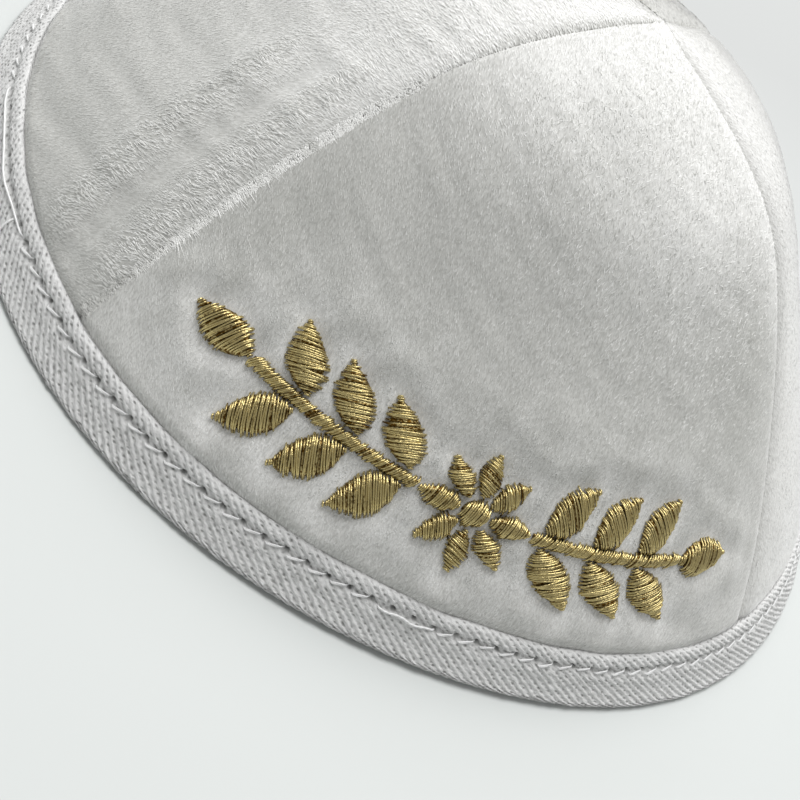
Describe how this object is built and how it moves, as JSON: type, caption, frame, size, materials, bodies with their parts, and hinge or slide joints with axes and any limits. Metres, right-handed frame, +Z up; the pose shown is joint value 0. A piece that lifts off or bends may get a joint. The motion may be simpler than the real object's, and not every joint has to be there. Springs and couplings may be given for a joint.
{
  "type": "kippah skullcap",
  "caption": "Shallow domed skullcap of velvet gores, edged with folded twill tape, with a gold satin-stitch leaf garland on its front gore.",
  "frame": {"origin": "the middle of the round rim, at the height of the surface that the cap rests on", "axes": "+Z up through the crown, -Y towards the front gore with the garland, +X to the wearer's left as the front gore is looked at"},
  "size_m": [0.1638, 0.1638, 0.0622],
  "materials": {
    "velvet": "off-white short-pile velvet with a silvery sheen",
    "twill_tape": "off-white cotton twill tape, matt, with white lockstitching",
    "gold_thread": "dull gold satin-stitch thread"
  },
  "bodies": {
    "root": {"panel_front": "velvet", "panel_right": "velvet", "panel_back": "velvet", "panel_left": "velvet", "rim_tape": "twill_tape", "rosette_petal_1": "gold_thread", "rosette_petal_2": "gold_thread", "rosette_petal_3": "gold_thread", "rosette_petal_4": "gold_thread", "rosette_petal_5": "gold_thread", "rosette_petal_6": "gold_thread", "rosette_petal_7": "gold_thread", "rosette_petal_8": "gold_thread", "rosette_heart": "gold_thread", "stem_left": "gold_thread", "stem_right": "gold_thread", "leaf_left_lower_1": "gold_thread", "leaf_left_upper_1": "gold_thread", "leaf_left_lower_2": "gold_thread", "leaf_left_upper_2": "gold_thread", "leaf_left_lower_3": "gold_thread", "leaf_left_upper_3": "gold_thread", "leaf_left_tip": "gold_thread", "leaf_right_lower_1": "gold_thread", "leaf_right_upper_1": "gold_thread", "leaf_right_lower_2": "gold_thread", "leaf_right_upper_2": "gold_thread", "leaf_right_lower_3": "gold_thread", "leaf_right_upper_3": "gold_thread", "leaf_right_tip": "gold_thread"}
  },
  "joints": []
}
